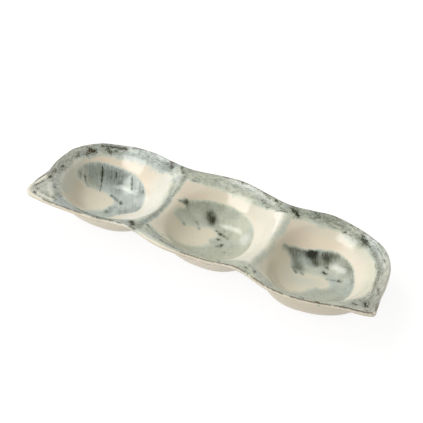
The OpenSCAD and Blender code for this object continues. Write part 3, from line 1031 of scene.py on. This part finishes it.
def glaze(material):
    """Cream glaze under a brushed grey wash, alike on all glazed pieces so that no seam shows."""
    s = Shader(material)
    mm = s.millimetres()
    parts = s.make("SeparateXYZ", Vector=mm).outputs
    x, y = parts["X"], parts["Y"]
    front = s.step(y, *FRONT)
    girth = s.measure("girth")
    ring = s.node("CombineXYZ", X=s.measure("ring_x"), Y=s.measure("ring_y"), Z=girth)
    broad = s.noise(mm, 34, 2)
    middling = s.noise(mm, 9)
    fine = s.noise(mm, 2.6, 3, 0.6)
    grain = s.noise(mm, 1.2, 2, 0.6)

    # Streaks down the wells, and brush marks along the rim
    runs_down = s.make("VectorRotate", Vector=mm, Angle=-STREAK_TURN)
    runs_down.rotation_type = "Z_AXIS"
    streaks = s.noise(runs_down.outputs[0], (20, 1.3, 20), 4, 0.65, 0.2)
    dashes = s.noise(runs_down.outputs[0], (5, 0.9, 5), 3, 0.7, 0.3)
    brushed = s.noise(ring, (9, 9, 1.5), 4, 0.65, 0.5)
    scratches = s.noise(ring, (4, 4, 0.8), 3, 0.7, 0.4)

    # Band on the rim, which ends at the lip's face
    reach = s.add(s.measure("band"), s.spread(middling, 3.5), s.spread(fine, 0.8))
    upper_face = s.step(s.add(girth, s.spread(fine, 0.8)), *UPPER_FACE)
    on_rim = s.times(s.step(reach, -3.5, 3.5), upper_face)
    mottle = s.add(s.spread(brushed, 0.4), s.spread(scratches, 0.25), s.spread(fine, 0.2))
    band = s.times(on_rim, s.most(0.1, s.add(BAND_LEVEL, mottle)))

    # Crests between the wells
    gap = s.add(s.measure("crest"), s.spread(middling, 2), s.spread(fine, 1.6), s.spread(grain, 0.8))
    off_swirl = s.step(s.measure("swirl"), -2, -7)
    on_crest = s.times(s.step(gap, 5, 0), off_swirl, s.measure("crest_strength"))
    crest = s.times(CREST_LEVEL, on_crest, s.add(1, s.spread(fine, 0.8), s.spread(grain, 0.5)))

    # Swirl in each well, round its bare patch
    edge = s.add(s.measure("swirl"), s.spread(fine, 0.8), s.spread(streaks, 0.5))
    bare = s.add(s.measure("patch"), s.spread(fine, 2.5), s.spread(middling, 2.5), s.spread(streaks, 2))
    inside_swirl = s.times(s.step(edge, -1.8, 1.4), s.step(bare, 3, -6))
    streakiness = s.between(s.step(x, *STREAKS_FADE), 0.55, 0.17)
    streak = s.times(streakiness, s.spread(streaks, 0.5))
    swirl = s.add(SWIRL_LEVEL, streak, s.spread(middling, 0.12), s.spread(fine, 0.12))
    swirl = s.times(inside_swirl, swirl)

    # Stains and painted highlights, clouds, pools, marks and specks
    wash = s.most(band, swirl, crest)
    covered = s.most(on_rim, inside_swirl, on_crest)
    stains_and_highlights = s.measure("stain_and_highlight")
    stain_and_highlight = s.times(stains_and_highlights, covered, s.between(fine, 0.6, 1.4))
    clouds = s.times(s.measure("cloud"), inside_swirl, s.between(s.step(dashes, 0.25, 0.75), 0.6, 1.1))
    pools = s.times(s.measure("pool"), s.add(1, s.spread(fine, 1.3), s.spread(streaks, 1)))
    mark = s.measure("mark")
    marks = s.times(mark, s.step(s.add(grain, s.times(0.22, mark)), 0.46, 0.66))
    specks = s.times(s.step(grain, 0.56, 0.72), s.step(band, 0.15, 0.4))
    wash = s.add(wash, stain_and_highlight, clouds, s.times(0.65, pools), s.times(0.7, marks), s.times(0.16, specks))

    # Veils on the bare walls, and no wash under the lip
    veil = s.times(s.measure("veil"), s.add(0.6, s.times(0.5, middling), s.times(0.3, streaks)))
    wash = s.most(wash, s.times(0.3, veil))
    covered = s.most(s.step(covered, 0, 0.6), s.step(wash, 0.02, 0.25), veil)
    glazed_side = s.step(girth, *GLAZED_SIDE)
    wash = s.times(wash, glazed_side)
    covered = s.times(covered, glazed_side)

    # Cream with painted light, whiter on the right of each well, which faces the lamps, and less so along
    # the tray, and with painted shade, warmer towards the back; thin at the lip, with iron specks
    painted_light = s.add(s.measure("well_side"), s.spread(broad, 0.5), s.spread(fine, 0.15))
    painted_light = s.times(s.step(painted_light, 0.15, 0.75), s.between(s.step(x, *PAINTED_LIGHT_FADES), 1, 0.4))
    cream = s.blend(painted_light, s.blend(s.step(y, *PAINTED_SHADE_BACK), SAND, PAINTED_SHADE_PEACH), PAINTED_LIGHT_IVORY)
    cream = s.blend(s.step(s.add(girth, s.spread(middling, 2)), *CLAY_SHOWS), cream, UNDERSIDE)
    # Painted shadow on the left well's left wall
    cream = s.blend(s.times(s.measure("painted_shadow"), s.between(middling, 0.8, 1.2)), cream, UNDERSIDE)
    iron = s.times(0.6, s.step(s.noise(mm, 1.7, 1, 0.5), 0.75, 0.785))
    cream = s.blend(iron, cream, RUST)

    # Wash over the cream, tinted
    hue = s.add(s.measure("hue"), s.spread(s.noise(mm, 18, 2), 0.8))
    tint = s.blend(s.step(hue, 0.1, 0.9), BLUE_TINT, OLIVE_TINT)
    tint = s.blend(s.step(s.math("ABSOLUTE", x), *WARM_TIPS), tint, WARM_TINT)
    grey = s.blend(1, s.ramp(wash, *WASH), tint, "MULTIPLY")
    colour = s.blend(covered, cream, grey)

    # Rust where the glaze breaks over the lip's two edges, and in the marks of the left end
    broken = s.noise(ring, (10, 10, 10), 4, 0.7)
    right_end = s.times(s.step(x, *RIGHT_END), s.math("SUBTRACT", 1, front))
    rusty = s.step(s.add(broken, s.times(0.07, front)), 0.44, 0.56)
    rusty = s.times(rusty, s.step(stains_and_highlights, -0.3, -0.1), s.between(right_end, 1, 0.2))
    upper = s.math("ABSOLUTE", s.add(girth, -UPPER_EDGE, s.spread(fine, 0.5)))
    lower = s.math("ABSOLUTE", s.add(girth, -LOWER_EDGE, s.spread(fine, 0.5)))
    upper = s.times(s.step(upper, 1, 0.3), rusty)
    lower = s.times(0.7, s.step(lower, 0.7, 0.1), s.step(broken, 0.6, 0.48))
    colour = s.blend(s.times(0.8, s.most(upper, lower)), colour, RUST)
    colour = s.blend(s.times(0.5, marks, s.step(x, *BROWN_MARKS), glazed_side), colour, RUST)

    # Relief and gloss
    ripple = s.times(fine, s.between(inside_swirl, 0.3, 0.8))
    relief = s.add(s.times(0.4, wash), ripple, s.times(0.1, grain), middling)
    bump = s.node("Bump", Strength=0.35, Distance=0.25 * MM, Height=relief)
    roughness = s.add(s.between(fine, 0.08, 0.18), s.times(0.18, s.step(girth, *ROUGH_SIDE)))
    return s.finish(Base_Color=colour, Roughness=roughness, Normal=bump)


def bare_clay(material):
    """Unglazed fired clay of the foot rings, with fine grog."""
    s = Shader(material)
    mm = s.millimetres()
    grog = s.noise(mm, 0.7, 3, 0.7)
    warm = s.noise(mm, 9, 2)
    colour = s.blend(s.step(warm, 0.35, 0.65), PALE_CLAY, WARM_CLAY)
    colour = s.blend(s.times(0.55, s.step(grog, 0.58, 0.72)), colour, GROG)
    bump = s.node("Bump", Strength=0.5, Distance=0.2 * MM, Height=grog)
    return s.finish(Base_Color=colour, Roughness=s.between(grog, 0.75, 0.9), Normal=bump)


# Pieces

Piece = collections.namedtuple("Piece", "node skin slot")
LOOKS = {"rim_glaze": glaze, "well_glaze": glaze, "crest_glaze": glaze, "bare_clay": bare_clay}

glazed = [Piece("rim", rim_skin(), "rim_glaze")]
glazed += [Piece(WELL_NAMES[well] + "_bowl", bowl_skin(well), "well_glaze") for well in WELL_NUMBERS]
glazed += [Piece("left_divider", divider_skin(LEFT), "crest_glaze")]
glazed += [Piece("right_divider", divider_skin(MIDDLE), "crest_glaze")]
unglazed = [Piece(WELL_NAMES[well] + "_foot", foot_skin(well), "bare_clay") for well in WELL_NUMBERS]

materials = {slot: look(bpy.data.materials.new(slot + "_look")) for slot, look in LOOKS.items()}
normals = shared_normals([piece.skin for piece in glazed])
normals += [shared_normals([piece.skin])[0] for piece in unglazed]
for piece, smooth in zip(glazed + unglazed, normals):
    made = write_mesh(piece.node + "_surface", piece.skin, smooth, materials[piece.slot])
    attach(made, "root")
    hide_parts(piece.node)


# Stage, lights and camera

FLOOR_HALF_SIZE = 4.0
STAGE_WHITE = srgb(246, 245, 242)
# Share of the floor's look that is plain light to the camera, and its strength, so that the lit floor
# comes out white and the shadow stays faint
FLOOR_GLOW = 0.8
FLOOR_GLOW_STRENGTH = 1.1
WORLD_LEVEL = 0.48

# Lights, all at one distance in metres: direction and elevation in degrees, size in metres and power
LIGHT_DISTANCE = 2
SOFTBOXES = (
    ("high_left_box", -98, 62, 0.56, 0.9, 9.8),
    ("front_left_panel", -24, 22, 1, 0.5, 9.5),
    ("front_left_fill", -45, 48, 1.6, 1.6, 9.4),
    ("back_left_window", -114, 38, 0.8, 0.6, 4.7),
)

# The camera: where it looks, in millimetres, from where, in degrees, and how far away
CAMERA_TARGET = (-4.8, 4.4, 38)
CAMERA_AZIMUTH = 29.03
CAMERA_ELEVATION = 42.45
CAMERA_DISTANCE = 860
CAMERA_FOCAL_PIXELS = 986.9
IMAGE_PIXELS = 423
SENSOR_WIDTH = 36


def white_to_camera(s, shader):
    """A shader that camera, glossy and transmission rays see mostly as white."""
    path = s.make("LightPath").outputs
    seen = s.most(path["Is Camera Ray"], path["Is Glossy Ray"], path["Is Transmission Ray"])
    light = s.node("Emission", Color=(1, 1, 1, 1), Strength=FLOOR_GLOW_STRENGTH)
    mixed = s.make("MixShader")
    for socket, value in zip(mixed.inputs, (s.times(FLOOR_GLOW, seen), shader, light)):
        s.feed(socket, value)
    return mixed.outputs[0]


def make_floor():
    half = FLOOR_HALF_SIZE
    corners = [(-half, -half, 0), (half, -half, 0), (half, half, 0), (-half, half, 0)]
    mesh = bpy.data.meshes.new("floor")
    mesh.from_pydata(corners, [], [(0, 1, 2, 3)])
    s = Shader(bpy.data.materials.new("floor"))
    paper = s.node("BsdfDiffuse", Color=STAGE_WHITE)
    s.make("OutputMaterial", Surface=white_to_camera(s, paper))
    mesh.materials.append(s.owner)
    placed("floor", mesh)


def make_world():
    world = bpy.data.worlds.new("studio")
    bpy.context.scene.world = world
    s = Shader(world)
    seen = s.node("LightPath", "Is Camera Ray")
    level = s.node("MapRange", "Result", Value=seen, To_Min=WORLD_LEVEL, To_Max=1)
    s.make("OutputWorld", Surface=s.node("Background", Strength=level))


def aim(thing, target, azimuth, elevation, distance):
    """Puts a light or camera in a direction from a target, 0 at the front and 90 on the right."""
    turn, rise = math.radians(azimuth), math.radians(elevation)
    way = Vector((math.sin(turn) * math.cos(rise), -math.cos(turn) * math.cos(rise), math.sin(rise)))
    thing.location = Vector(target) + way * distance
    thing.rotation_euler = (-way).to_track_quat("-Z", "Y").to_euler()


def make_lights():
    for name, azimuth, elevation, width, height, watts in SOFTBOXES:
        lamp = bpy.data.lights.new(name, "AREA")
        lamp.shape = "RECTANGLE"
        lamp.size = width
        lamp.size_y = height
        lamp.energy = watts
        aim(placed(name, lamp), (0, 0, 0), azimuth, elevation, LIGHT_DISTANCE)


def make_camera():
    lens = bpy.data.cameras.new("camera")
    lens.sensor_width = SENSOR_WIDTH
    lens.lens = SENSOR_WIDTH * CAMERA_FOCAL_PIXELS / IMAGE_PIXELS
    camera = placed("camera", lens)
    target = Vector(CAMERA_TARGET) * MM
    aim(camera, target, CAMERA_AZIMUTH, CAMERA_ELEVATION, CAMERA_DISTANCE * MM)
    bpy.context.scene.camera = camera


make_floor()
make_world()
make_lights()
make_camera()
bpy.context.scene.view_settings.view_transform = "Standard"
